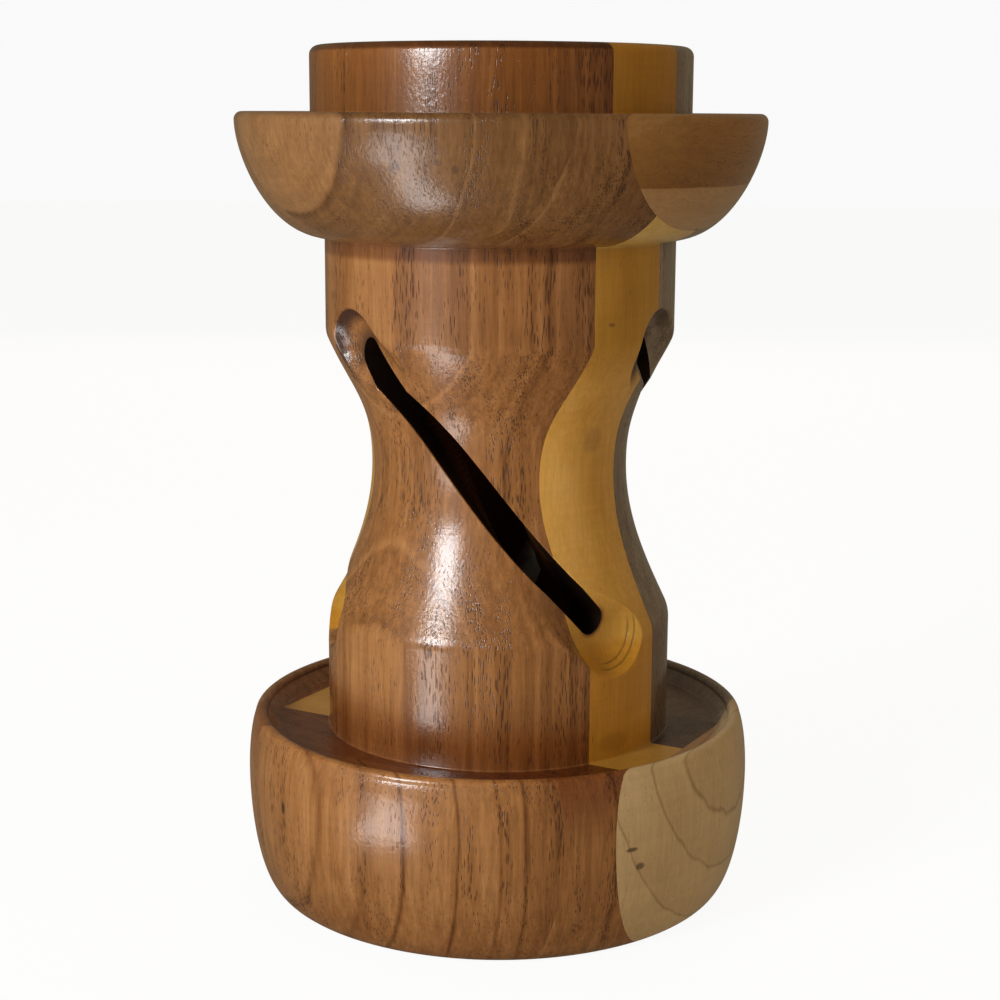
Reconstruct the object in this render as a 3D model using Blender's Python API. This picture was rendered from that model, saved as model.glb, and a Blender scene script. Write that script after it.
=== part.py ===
"""Turned hardwood pedestal stand: a glued-up block of boards with a tray base, a hollow waisted
column with three spiral slots, an upper bowl and a cup collar.

Frame: +Z up, origin at the centre of the flat underside, the boards' glue lines square to X and Y.
Azimuths are measured from -Y (the front) towards +X (the right), seen from above.
"""
import math

import bmesh
import bpy
from mathutils import Vector
from mathutils.geometry import interpolate_bezier

# ---------------------------------------------------------------- driving dimensions, in metres
HEIGHT = 0.230

# Tray base
BASE_R = 0.0699            # widest, at BASE_BELLY_Z
BASE_BELLY_Z = 0.033
BASE_FOOT_R = 0.0620       # edge of the flat underside
BASE_RIM_Z = 0.050
BASE_RIM_R = 0.0680        # outer edge of the rim, where its rounding starts
BASE_WALL_R = 0.0645       # inner edge of the rim
BASE_FLOOR_Z = 0.0454
BASE_FLOOR_R = 0.0612

# Column
COLUMN_LOW_R = 0.0474
COLUMN_TOP_R = 0.0472
WAIST_R = 0.0349
LOW_BREAK_Z = 0.0781       # cylinder below, waist above
TOP_BREAK_Z = 0.1547       # waist below, cylinder above
WAIST_Z = 0.1195
BORE_R = 0.019
BORE_TOP_Z = 0.185

# Upper bowl
BOWL_R = 0.0706
BOWL_UNDER_Z = 0.1803      # where its underside meets the column
BOWL_RIM_Z = 0.213
BOWL_WALL_R = 0.0664       # inner edge of the rim
BOWL_FLOOR_Z = 0.200
BOWL_FLOOR_R = 0.0575

# Cup collar
COLLAR_R = 0.0507
CUP_R = 0.044
CUP_FLOOR_Z = 0.200
COLLAR_ROUND = 0.0025

# Spiral slots
SLOTS = 3
SLOT_LEAD = math.radians(1320)      # azimuth lost for each metre of height
SLOT_AZIMUTH = math.radians(174.3)  # azimuth that the first slot's line would have at z = 0
SLOT_HALF_WIDTH = 0.004
SLOT_LOW_Z = 0.0825                 # centres of the round ends of the cut through the wall
SLOT_TOP_Z = 0.1515
SLOT_RADII = (0.014, 0.055)         # the cutter reaches from inside the bore to outside the column
BALL_R = 0.0125                     # round-nosed scoop around each end of a slot
BALL_CENTRE_R = 0.0528
BALL_DEPTHS = (0.00005, 0.0007, 0.002, 0.004, 0.0065, 0.0095)  # cutter's layers, above its floor
RECESS_LOW_Z = (0.0796, 0.0950)
RECESS_TOP_Z = (0.1390, 0.1522)

# Glue-up
FRONT_Y = -0.051
LIGHT_Y = -0.024
MIDDLE_Y = 0.0
REAR_Y = 0.025
BACK_Y = 0.051
SIDE_X = 0.057
GAP = 0.0003                        # between neighbouring boards
STOCK = 0.080                       # how far the side boards' planks reach from the axis
BOWL_STOCK_Z = (0.178, 0.216)
BASE_STOCK_Z = (-0.005, 0.055)
CORE_STOCK_Z = (-0.005, HEIGHT + 0.005)

# Facets
TURNED_STEPS = 48
CURVE_POINTS = 8
ROUND_POINTS = 3

MATERIALS = {
    "walnut_front": ((0.23, 0.095, 0.035), 0.35),
    "maple_light": ((0.48, 0.27, 0.085), 0.35),
    "walnut_rear": ((0.20, 0.115, 0.06), 0.38),
    "ash_side": ((0.40, 0.25, 0.12), 0.38),
}


def clear_scene():
    for thing in list(bpy.data.objects):
        bpy.data.objects.remove(thing, do_unlink=True)


def wood(name):
    """A varnished wood material; made once and shared."""
    colour, roughness = MATERIALS[name]
    material = bpy.data.materials.get(name) or bpy.data.materials.new(name)
    material.use_nodes = True
    shader = material.node_tree.nodes["Principled BSDF"]
    shader.inputs["Base Color"].default_value = (*colour, 1.0)
    shader.inputs["Roughness"].default_value = roughness
    shader.inputs["Metallic"].default_value = 0.0
    return material


def new_object(name, mesh_builder):
    """Link a new object whose mesh is what the bmesh holds, faces pointing out."""
    bmesh.ops.remove_doubles(mesh_builder, verts=mesh_builder.verts, dist=1e-6)
    bmesh.ops.recalc_face_normals(mesh_builder, faces=mesh_builder.faces)
    bmesh.ops.triangulate(mesh_builder, faces=mesh_builder.faces)
    mesh = bpy.data.meshes.new(name)
    mesh_builder.to_mesh(mesh)
    mesh_builder.free()
    thing = bpy.data.objects.new(name, mesh)
    bpy.context.scene.collection.objects.link(thing)
    return thing


def make_guide(thing):
    """Mark a cutter or a form that is not itself a part."""
    thing.hide_render = True
    thing.display_type = "WIRE"


def add_boolean(thing, operation, other):
    modifier = thing.modifiers.new(f"{operation.lower()}_{other.name}", "BOOLEAN")
    modifier.operation = operation
    modifier.solver = "EXACT"
    modifier.object = other


# ---------------------------------------------------------------- the turned form
def curve(start, start_handle, end_handle, end, points=CURVE_POINTS):
    """Points (r, z) along one Bezier curve, its start included and its end left out."""
    corners = [Vector((r, z, 0.0)) for r, z in (start, start_handle, end_handle, end)]
    return [(p.x, p.y) for p in interpolate_bezier(*corners, points)[:-1]]


def quarter(centre, radius, first_angle, last_angle):
    """Points (r, z) along a small arc, both ends included; angles in degrees."""
    turn = last_angle - first_angle
    angles = [math.radians(first_angle + turn * i / ROUND_POINTS) for i in range(ROUND_POINTS + 1)]
    return [(centre[0] + radius * math.cos(a), centre[1] + radius * math.sin(a)) for a in angles]


def turned_outline():
    """The half section, from the underside up the outside, into the cup and down the bore."""
    lip = 0.5 * (BOWL_R - BOWL_WALL_R)
    rim = 0.5 * (BASE_RIM_R - BASE_WALL_R)
    outline = [(BORE_R, 0.0)]
    # base: rounded heel, belly, rim
    outline += curve((BASE_FOOT_R, 0.0), (BASE_FOOT_R + 0.0045, 0.0008),
                     (BASE_R, BASE_BELLY_Z - 0.0165), (BASE_R, BASE_BELLY_Z))
    outline += curve((BASE_R, BASE_BELLY_Z), (BASE_R, BASE_BELLY_Z + 0.0055),
                     (BASE_R - 0.0006, BASE_RIM_Z - 0.005), (BASE_RIM_R, BASE_RIM_Z - rim), 6)
    outline += quarter((BASE_RIM_R - rim, BASE_RIM_Z - rim), rim, 0, 180)
    # tray: sloping inner wall and flat floor
    outline += [(BASE_FLOOR_R + 0.001, BASE_FLOOR_Z + 0.0008), (BASE_FLOOR_R, BASE_FLOOR_Z)]
    # column: lower cylinder, waist, upper cylinder
    outline += [(COLUMN_LOW_R, BASE_FLOOR_Z)]
    outline += curve((COLUMN_LOW_R, LOW_BREAK_Z), (0.0411, 0.0913), (WAIST_R, 0.1039), (WAIST_R, WAIST_Z))
    outline += curve((WAIST_R, WAIST_Z), (WAIST_R, 0.1364), (0.0407, 0.1394), (COLUMN_TOP_R, TOP_BREAK_Z))
    outline += [(COLUMN_TOP_R, TOP_BREAK_Z)]
    # bowl: underside swelling out to the lip, then down into its trough
    outline += curve((COLUMN_TOP_R, BOWL_UNDER_Z), (0.0622, BOWL_UNDER_Z + 0.0003),
                     (BOWL_R, 0.2019), (BOWL_R, BOWL_RIM_Z - lip), 10)
    outline += quarter((BOWL_R - lip, BOWL_RIM_Z - lip), lip, 0, 180)
    outline += curve((BOWL_WALL_R - 0.0012, 0.2082), (0.0640, 0.2030), (0.0615, BOWL_FLOOR_Z),
                     (BOWL_FLOOR_R, BOWL_FLOOR_Z), 6)
    outline += [(BOWL_FLOOR_R, BOWL_FLOOR_Z), (COLLAR_R, BOWL_FLOOR_Z)]
    # collar and cup
    shoulder = HEIGHT - COLLAR_ROUND
    outline += quarter((COLLAR_R - COLLAR_ROUND, shoulder), COLLAR_ROUND, 0, 90)
    outline += quarter((CUP_R + COLLAR_ROUND, shoulder), COLLAR_ROUND, 90, 180)
    outline += [(CUP_R, CUP_FLOOR_Z), (0.0, CUP_FLOOR_Z)]
    # bore, open at the underside
    outline += [(0.0, BORE_TOP_Z), (BORE_R, BORE_TOP_Z)]
    return outline


def turned_form():
    """The whole shape as it comes off the lathe, before it is seen as boards."""
    builder = bmesh.new()
    verts = [builder.verts.new((0.0, -r, z)) for r, z in turned_outline()]
    edges = [builder.edges.new((a, b)) for a, b in zip(verts, verts[1:] + verts[:1])
             if (a.co - b.co).length > 1e-6 and abs(a.co.y) + abs(b.co.y) > 1e-6]
    bmesh.ops.spin(builder, geom=verts + edges, cent=(0, 0, 0), axis=(0, 0, 1),
                   angle=2 * math.pi, steps=TURNED_STEPS, use_merge=True)
    form = new_object("turned_form", builder)
    form.data.shade_smooth()
    form.data.set_sharp_from_angle(angle=math.radians(35))
    make_guide(form)
    return form


# ---------------------------------------------------------------- the spiral slots
def slot_point(radius, z, along, across, turn):
    """A point on the cylinder of this radius, measured along and across the slot's line."""
    slope = SLOT_LEAD * radius
    length = math.hypot(1.0, slope)
    arc = (across - slope * along) / length
    height = z + (along + slope * across) / length
    azimuth = SLOT_AZIMUTH + turn - SLOT_LEAD * z + arc / radius
    return Vector((radius * math.sin(azimuth), -radius * math.cos(azimuth), height))


def slot_cutter(name, stations, low_z, top_z, turn):
    """A round-ended cutter along the slot's line. Stations are (radius, half width), inside first."""
    ends = 4
    pitch = 0.004
    runs = max(2, round((top_z - low_z) / pitch))
    rounding = [math.radians(90.0 * i / ends) for i in range(ends + 1)]
    steps = [(low_z, -math.cos(a), math.sin(a)) for a in rounding]
    steps += [(low_z + (top_z - low_z) * i / runs, 0.0, 1.0) for i in range(1, runs)]
    steps += [(top_z, math.sin(a), math.cos(a)) for a in rounding]
    builder = bmesh.new()
    layers = []
    for radius, half_width in stations:
        sides = []
        for side in (-1, 1):
            sides.append([builder.verts.new(slot_point(radius, z, along * half_width,
                                                       side * across * half_width, turn))
                          for z, along, across in steps])
        layers.append(sides)
    last = len(steps) - 1
    for left, right in (layers[0], layers[-1]):
        for i in range(last):
            builder.faces.new((left[i], left[i + 1], right[i + 1], right[i]))
    for inner, outer in zip(layers, layers[1:]):
        for side in (0, 1):
            for i in range(last):
                builder.faces.new((inner[side][i], inner[side][i + 1], outer[side][i + 1], outer[side][i]))
    bmesh.ops.dissolve_degenerate(builder, dist=1e-7, edges=builder.edges)
    cutter = new_object(name, builder)
    make_guide(cutter)
    return cutter


def ball_stations():
    """Half widths of the round-nosed cutter at rising radii."""
    floor = BALL_CENTRE_R - BALL_R
    return [(floor + d, math.sqrt(BALL_R ** 2 - (BALL_R - d) ** 2)) for d in BALL_DEPTHS]


def cut_slots(form):
    through = [(radius, SLOT_HALF_WIDTH) for radius in SLOT_RADII]
    for i in range(SLOTS):
        turn = i * 2 * math.pi / SLOTS
        cutters = [
            slot_cutter(f"slot_cutter_{i}", through, SLOT_LOW_Z, SLOT_TOP_Z, turn),
            slot_cutter(f"recess_low_cutter_{i}", ball_stations(), *RECESS_LOW_Z, turn),
            slot_cutter(f"recess_top_cutter_{i}", ball_stations(), *RECESS_TOP_Z, turn),
        ]
        for cutter in cutters:
            add_boolean(form, "DIFFERENCE", cutter)


# ---------------------------------------------------------------- the boards
def board(name, x, y, z, material, form):
    """One plank of the glue-up, between its glue lines, cut to the turned form."""
    low = [span[0] + 0.5 * GAP for span in (x, y)] + [z[0]]
    high = [span[1] - 0.5 * GAP for span in (x, y)] + [z[1]]
    builder = bmesh.new()
    bmesh.ops.create_cube(builder, size=1.0)
    for vert in builder.verts:
        vert.co = Vector([high[i] if vert.co[i] > 0 else low[i] for i in range(3)])
    plank = new_object(name, builder)
    plank.data.materials.append(wood(material))
    add_boolean(plank, "INTERSECT", form)
    return plank


def core_boards(form):
    """The four boards that run the whole height."""
    across = (-SIDE_X, SIDE_X)
    layers = (
        ("front_board", (FRONT_Y, LIGHT_Y), "walnut_front"),
        ("light_board", (LIGHT_Y, MIDDLE_Y), "maple_light"),
        ("inner_back_board", (MIDDLE_Y, REAR_Y), "walnut_rear"),
        ("back_board", (REAR_Y, BACK_Y), "walnut_rear"),
    )
    for name, depth, material in layers:
        board(name, across, depth, CORE_STOCK_Z, material, form)


def side_boards(level, z, form):
    """The four pieces glued around the core to make up the width of the base or the bowl."""
    across = (-SIDE_X, SIDE_X)
    deep = (FRONT_Y, BACK_Y)
    board(f"{level}_front_board", across, (-STOCK, FRONT_Y), z, "walnut_front", form)
    board(f"{level}_back_board", across, (BACK_Y, STOCK), z, "walnut_rear", form)
    board(f"{level}_left_board", (-STOCK, -SIDE_X), deep, z, "walnut_front", form)
    board(f"{level}_right_board", (SIDE_X, STOCK), deep, z, "ash_side", form)


def main():
    clear_scene()
    form = turned_form()
    cut_slots(form)
    core_boards(form)
    side_boards("base", BASE_STOCK_Z, form)
    side_boards("bowl", BOWL_STOCK_Z, form)


main()
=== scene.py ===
"""Looks for the turned hardwood pedestal stand: every board is turned again in a fine mesh and
given its own varnished wood, on a pale floor in soft studio light.

Frame: +Z up, origin at the centre of the flat underside, metres. Azimuths are measured from -Y
(the front) towards +X (the right), seen from above.
"""
import math

import bmesh
import bpy
from mathutils import Matrix, Vector
from mathutils.geometry import interpolate_bezier


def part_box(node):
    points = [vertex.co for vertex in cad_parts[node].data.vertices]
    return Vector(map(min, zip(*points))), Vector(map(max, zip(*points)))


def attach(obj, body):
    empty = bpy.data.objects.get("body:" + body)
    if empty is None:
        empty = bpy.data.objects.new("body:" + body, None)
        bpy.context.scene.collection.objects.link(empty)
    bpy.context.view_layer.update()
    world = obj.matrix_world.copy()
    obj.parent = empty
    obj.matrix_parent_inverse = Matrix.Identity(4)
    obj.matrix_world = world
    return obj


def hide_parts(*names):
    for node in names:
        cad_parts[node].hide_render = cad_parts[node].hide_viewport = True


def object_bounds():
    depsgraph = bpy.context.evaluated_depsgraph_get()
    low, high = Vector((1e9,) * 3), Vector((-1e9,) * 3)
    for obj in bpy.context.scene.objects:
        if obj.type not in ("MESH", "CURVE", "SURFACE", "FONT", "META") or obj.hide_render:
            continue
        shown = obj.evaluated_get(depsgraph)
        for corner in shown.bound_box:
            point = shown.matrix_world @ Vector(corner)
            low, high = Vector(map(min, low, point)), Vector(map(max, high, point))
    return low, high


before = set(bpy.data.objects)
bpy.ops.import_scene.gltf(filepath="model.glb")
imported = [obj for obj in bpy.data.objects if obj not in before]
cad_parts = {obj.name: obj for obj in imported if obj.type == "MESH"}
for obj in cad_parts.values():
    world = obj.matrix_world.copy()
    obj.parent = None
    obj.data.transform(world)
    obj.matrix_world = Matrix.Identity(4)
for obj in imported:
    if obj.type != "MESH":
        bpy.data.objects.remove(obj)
cad_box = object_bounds()


def between(low_node, high_node, axis):
    """The middle of the gap between two neighbouring CAD boards."""
    return 0.5 * (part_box(low_node)[1][axis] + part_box(high_node)[0][axis])


# ---------------------------------------------------------------- dimensions, in metres
MM = 0.001
X, Y, Z = 0, 1, 2

# Read from the frame
HEIGHT = cad_box[1][Z]
BOWL_R = cad_box[1][X]
BASE_R = -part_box("base_front_board")[0][Y]
FRONT_Y = between("base_front_board", "front_board", Y)
LIGHT_Y = between("front_board", "light_board", Y)
MIDDLE_Y = between("light_board", "inner_back_board", Y)
REAR_Y = between("inner_back_board", "back_board", Y)
BACK_Y = between("back_board", "base_back_board", Y)
SIDE_X = between("front_board", "base_right_board", X)

# Tray base
BASE_BELLY_Z = 0.033
BASE_FOOT_R = 0.0620
BASE_RIM_Z = 0.050
BASE_RIM_R = 0.0680
BASE_WALL_R = 0.0645
BASE_FLOOR_Z = 0.0454
BASE_FLOOR_R = 0.0612
TRAY_CORNER_R = BASE_FLOOR_R + 0.0004

# Column
COLUMN_LOW_R = 0.0474
COLUMN_TOP_R = 0.0472
WAIST_R = 0.0349
LOW_BREAK_Z = 0.0781
TOP_BREAK_Z = 0.1547
WAIST_Z = 0.1195
BORE_R = 0.019
BORE_TOP_Z = 0.185

# Upper bowl and cup collar
BOWL_UNDER_Z = 0.1803
BOWL_RIM_Z = 0.213
BOWL_WALL_R = 0.0664
BOWL_FLOOR_Z = 0.200
BOWL_FLOOR_R = 0.0575
COLLAR_R = 0.0507
CUP_R = 0.044
CUP_FLOOR_Z = 0.200
COLLAR_ROUND = 0.0025

# Handles of the outline's curves, as (r, z), from the foot upwards
FOOT_HANDLE = (BASE_FOOT_R + 0.0045, 0.0008)
BELLY_LOW_HANDLE = (BASE_R, BASE_BELLY_Z - 0.0165)
BELLY_TOP_HANDLE = (BASE_R, BASE_BELLY_Z + 0.0055)
BASE_RIM_HANDLE = (BASE_R - 0.0006, BASE_RIM_Z - 0.005)
LOW_BREAK_HANDLE = (0.0411, 0.0913)
WAIST_LOW_HANDLE = (WAIST_R, 0.1039)
WAIST_TOP_HANDLE = (WAIST_R, 0.1364)
TOP_BREAK_HANDLE = (0.0407, 0.1394)
BOWL_UNDER_HANDLE = (0.0622, BOWL_UNDER_Z + 0.0003)
BOWL_SIDE_HANDLE = (BOWL_R, 0.2019)
TROUGH_START = (BOWL_WALL_R - 0.0012, 0.2082)
TROUGH_WALL_HANDLE = (0.0640, 0.2030)
TROUGH_FLOOR_HANDLE = (0.0615, BOWL_FLOOR_Z)

# How far each corner of the outline is softened, to either side
FOOT_SOFT = 0.0006
TRAY_SOFT = 0.0009
COLUMN_FOOT_SOFT = 0.0006
LOW_BREAK_SOFT = 0.0022
TOP_BREAK_SOFT = 0.0016
BOWL_ROOT_SOFT = 0.0005
COLLAR_FOOT_SOFT = 0.0008
CUP_FLOOR_SOFT = 0.0015
BORE_TOP_SOFT = 0.0008

# Spiral slots
SLOTS = 3
SLOT_LEAD = math.radians(1320)      # azimuth lost for each metre of height
SLOT_AZIMUTH = math.radians(174.3)  # azimuth that the first slot's line would have at z = 0
SLOT_HALF_WIDTH = 0.004
SLOT_LOW_Z = 0.0825                 # centres of the round ends of the cut through the wall
SLOT_TOP_Z = 0.1515
SLOT_INNER_R = 0.014                # the cutter starts inside the bore
BALL_R = 0.0125                     # the round-nosed scoop at each end of a slot
BALL_CENTRE_R = 0.0528
RECESS_LOW_Z = (0.0796, 0.0950)     # the run of the scoop's centre at the lower and upper end
RECESS_TOP_Z = (0.1390, 0.1522)
SCOOP_LEDGE = 0.0005                # the step that the tool left at the low end

# How each mouth flares: (height over the column's surface, extra half width)
MOUTH = ((-0.0030, 0.0), (-0.0009, 0.0), (-0.0004, 0.00005), (-0.00015, 0.00015), (0.0001, 0.00042),
         (0.0012, 0.0018))
SCOOP_MOUTH = ((-0.0007, 0.0), (-0.0003, 0.00007), (-0.0001, 0.0002), (0.0001, 0.0005), (0.0012, 0.0018),
               (0.0075, 0.0020))
UNDER_MOUTH = 0.0007                # room between the scoop's last inner layer and its mouth
THINNEST_SCOOP = 0.0006             # least depth of the scoop's inner layers
THINNEST_MOUTH = 0.0020             # least height of its mouth over its floor

# Fineness of the mesh
SEGMENTS = 240
CURVE_POINTS = 30
CORNER_POINTS = 7
SMALL_ARC_STEPS = 9
RIM_STEPS = 16
WALL_PITCH = 0.004
SLOT_PITCH = 0.0015
SLOT_END_STEPS = 10
SCOOP_LAYERS = 9
SCOOP_FIRST_SHARE = 0.00001
SURFACE_PASSES = 3                  # rounds of following the column's surface along a slanting slot
COLUMN_BOX_R = (0.030, 0.050)       # where the column's outside is looked for in the outline
ABOVE_TRAY, BELOW_BOWL = 0.002, 0.001
LEAST_RISE = 1e-9
TINY = 1e-12
ON_AXIS = 1e-6
SAME_POINT = 1e-7
CORNER_CLEAR = 1e-5
FLAT_COSINE = 0.9999
ON_PLANE = 2e-6
SHARP_ANGLE = math.radians(30)

# Planks, and the hairline left at each glue line
STOCK = 0.080
BOWL_STOCK_Z = (0.178, 0.216)
BASE_STOCK_Z = (-0.005, 0.055)
CORE_STOCK_Z = (-0.005, HEIGHT + 0.005)
GLUE_LINE = 0.00002


# ---------------------------------------------------------------- the turned outline
def curve(start, start_handle, end_handle, end, softness=0.0):
    """Points (r, z, softness) along one Bezier curve, its end left out; softness is its start's."""
    corners = [Vector((r, z, 0.0)) for r, z in (start, start_handle, end_handle, end)]
    points = interpolate_bezier(*corners, CURVE_POINTS)[:-1]
    return [(p.x, p.y, 0.0 if i else softness) for i, p in enumerate(points)]


def arc(r, z, radius, first_angle, last_angle, steps):
    """Points along a small arc about (r, z), both ends included; angles in degrees."""
    turn = last_angle - first_angle
    angles = [math.radians(first_angle + turn * i / steps) for i in range(steps + 1)]
    return [(r + radius * math.cos(a), z + radius * math.sin(a), 0.0) for a in angles]


def sharp_outline():
    """The half section as (r, z, softness), from the underside up the outside and down the bore."""
    lip = 0.5 * (BOWL_R - BOWL_WALL_R)
    rim = 0.5 * (BASE_RIM_R - BASE_WALL_R)
    shoulder = HEIGHT - COLLAR_ROUND
    foot, belly = (BASE_FOOT_R, 0.0), (BASE_R, BASE_BELLY_Z)
    low_break, top_break = (COLUMN_LOW_R, LOW_BREAK_Z), (COLUMN_TOP_R, TOP_BREAK_Z)
    waist = (WAIST_R, WAIST_Z)
    outline = [(BORE_R, 0.0, FOOT_SOFT)]
    outline += curve(foot, FOOT_HANDLE, BELLY_LOW_HANDLE, belly, FOOT_SOFT)
    outline += curve(belly, BELLY_TOP_HANDLE, BASE_RIM_HANDLE, (BASE_RIM_R, BASE_RIM_Z - rim))
    outline += arc(BASE_RIM_R - rim, BASE_RIM_Z - rim, rim, 0, 180, RIM_STEPS)
    outline += [(TRAY_CORNER_R, BASE_FLOOR_Z, TRAY_SOFT), (COLUMN_LOW_R, BASE_FLOOR_Z, COLUMN_FOOT_SOFT)]
    outline += curve(low_break, LOW_BREAK_HANDLE, WAIST_LOW_HANDLE, waist, LOW_BREAK_SOFT)
    outline += curve(waist, WAIST_TOP_HANDLE, TOP_BREAK_HANDLE, top_break)
    outline += [(*top_break, TOP_BREAK_SOFT)]
    outline += curve((COLUMN_TOP_R, BOWL_UNDER_Z), BOWL_UNDER_HANDLE, BOWL_SIDE_HANDLE,
                     (BOWL_R, BOWL_RIM_Z - lip), BOWL_ROOT_SOFT)
    outline += arc(BOWL_R - lip, BOWL_RIM_Z - lip, lip, 0, 180, RIM_STEPS)
    outline += curve(TROUGH_START, TROUGH_WALL_HANDLE, TROUGH_FLOOR_HANDLE, (BOWL_FLOOR_R, BOWL_FLOOR_Z))
    outline += [(BOWL_FLOOR_R, BOWL_FLOOR_Z, 0.0), (COLLAR_R, BOWL_FLOOR_Z, COLLAR_FOOT_SOFT)]
    outline += arc(COLLAR_R - COLLAR_ROUND, shoulder, COLLAR_ROUND, 0, 90, SMALL_ARC_STEPS)
    outline += arc(CUP_R + COLLAR_ROUND, shoulder, COLLAR_ROUND, 90, 180, SMALL_ARC_STEPS)
    outline += [(CUP_R, CUP_FLOOR_Z, CUP_FLOOR_SOFT), (0.0, CUP_FLOOR_Z, 0.0)]
    outline += [(0.0, BORE_TOP_Z, 0.0), (BORE_R, BORE_TOP_Z, BORE_TOP_SOFT)]
    return outline


def soften(outline):
    """Replace each corner by a short curve that leaves and meets the outline its softness away."""
    points = [Vector((r, z)) for r, z, _ in outline]
    softness = [s for _, _, s in outline]
    along = [0.0]
    for a, b in zip(points, points[1:] + points[:1]):
        along.append(along[-1] + (b - a).length)
    length = along.pop()

    def at(distance):
        """The point this far along the closed outline."""
        distance %= length
        index = max(i for i, d in enumerate(along) if d <= distance + TINY)
        end = along[index + 1] if index + 1 < len(along) else length
        share = (distance - along[index]) / max(end - along[index], TINY)
        return points[index].lerp(points[(index + 1) % len(points)], share)

    corners = [(along[i], softness[i]) for i in range(len(points)) if softness[i]]
    result = []
    for i, point in enumerate(points):
        reach = softness[i]
        if reach:
            first, last = at(along[i] - reach), at(along[i] + reach)
            for step in range(CORNER_POINTS + 1):
                t = step / CORNER_POINTS
                result.append(first * (1 - t) ** 2 + point * 2 * t * (1 - t) + last * t * t)
        elif all(abs(along[i] - d) > s + CORNER_CLEAR for d, s in corners):
            result.append(point)
    return result


def subdivided(points):
    """Split the long straight walls, so that no face is much longer than the wall pitch."""
    result = []
    for a, b in zip(points, points[1:] + points[:1]):
        pieces = max(1, round((b - a).length / WALL_PITCH))
        if max(a.x, b.x) < ON_AXIS:
            pieces = 1
        result += [a.lerp(b, i / pieces) for i in range(pieces)]
    return result


OUTLINE = subdivided(soften(sharp_outline()))


def on_column(point):
    """Whether this point of the outline is on the column's outside, between the tray and the bowl."""
    r, z = point
    between_r = COLUMN_BOX_R[0] < r < COLUMN_BOX_R[1]
    return between_r and BASE_FLOOR_Z + ABOVE_TRAY < z < BOWL_UNDER_Z - BELOW_BOWL


COLUMN_SIDE = [point for point in OUTLINE if on_column(point)]


def column_radius(z):
    """The column's outer radius at this height, before the slots are cut."""
    for low, high in zip(COLUMN_SIDE, COLUMN_SIDE[1:]):
        if low.y <= z <= high.y:
            return low.x + (high.x - low.x) * (z - low.y) / max(high.y - low.y, LEAST_RISE)
    return COLUMN_TOP_R


# ---------------------------------------------------------------- meshes
def new_object(name, builder):
    """Link a new object with what the bmesh holds, as triangles facing out."""
    bmesh.ops.remove_doubles(builder, verts=builder.verts, dist=SAME_POINT)
    bmesh.ops.recalc_face_normals(builder, faces=builder.faces)
    bmesh.ops.triangulate(builder, faces=builder.faces)
    mesh = bpy.data.meshes.new(name)
    builder.to_mesh(mesh)
    builder.free()
    thing = bpy.data.objects.new(name, mesh)
    bpy.context.scene.collection.objects.link(thing)
    return thing


def turned_form():
    """The whole shape as it comes off the lathe."""
    builder = bmesh.new()
    angles = [2 * math.pi * i / SEGMENTS for i in range(SEGMENTS)]
    rings = []
    for r, z in OUTLINE:
        if r < ON_AXIS:
            rings.append([builder.verts.new((0.0, 0.0, z))])
        else:
            rings.append([builder.verts.new((r * math.sin(a), -r * math.cos(a), z)) for a in angles])
    for low, high in zip(rings, rings[1:] + rings[:1]):
        if len(low) == 1 and len(high) == 1:
            continue
        for i in range(SEGMENTS):
            j = (i + 1) % SEGMENTS
            corners = [low[i % len(low)], low[j % len(low)], high[j % len(high)], high[i % len(high)]]
            builder.faces.new(list(dict.fromkeys(corners)))
    return new_object("turned_form", builder)


def boolean(thing, operation, other):
    """Add an exact Boolean modifier that works on the thing with the other object."""
    modifier = thing.modifiers.new(other.name, "BOOLEAN")
    modifier.operation = operation
    modifier.solver = "EXACT"
    modifier.object = other


def bake(thing):
    """Apply the object's modifiers to its mesh."""
    bpy.context.view_layer.update()
    graph = bpy.context.evaluated_depsgraph_get()
    mesh = bpy.data.meshes.new_from_object(thing.evaluated_get(graph), depsgraph=graph)
    mesh.name = thing.name
    thing.data = mesh
    thing.modifiers.clear()


# ---------------------------------------------------------------- the spiral slots
def slot_point(radius, z, along, across, turn):
    """A point on the cylinder of this radius, measured along and across the slot's line."""
    slope = SLOT_LEAD * radius
    length = math.hypot(1.0, slope)
    arc_length = (across - slope * along) / length
    height = z + (along + slope * across) / length
    azimuth = SLOT_AZIMUTH + turn - SLOT_LEAD * z + arc_length / radius
    return Vector((radius * math.sin(azimuth), -radius * math.cos(azimuth), height))


def slot_steps(low_z, top_z):
    """Stations round one side of a slot: (z of the centre, share along, share across)."""
    runs = max(2, round((top_z - low_z) / SLOT_PITCH))
    rounding = [math.radians(90.0 * i / SLOT_END_STEPS) for i in range(SLOT_END_STEPS + 1)]
    steps = [(low_z, -math.cos(a), math.sin(a)) for a in rounding]
    steps += [(low_z + (top_z - low_z) * i / runs, 0.0, 1.0) for i in range(1, runs)]
    steps += [(top_z, math.sin(a), math.cos(a)) for a in rounding]
    return steps


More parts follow.
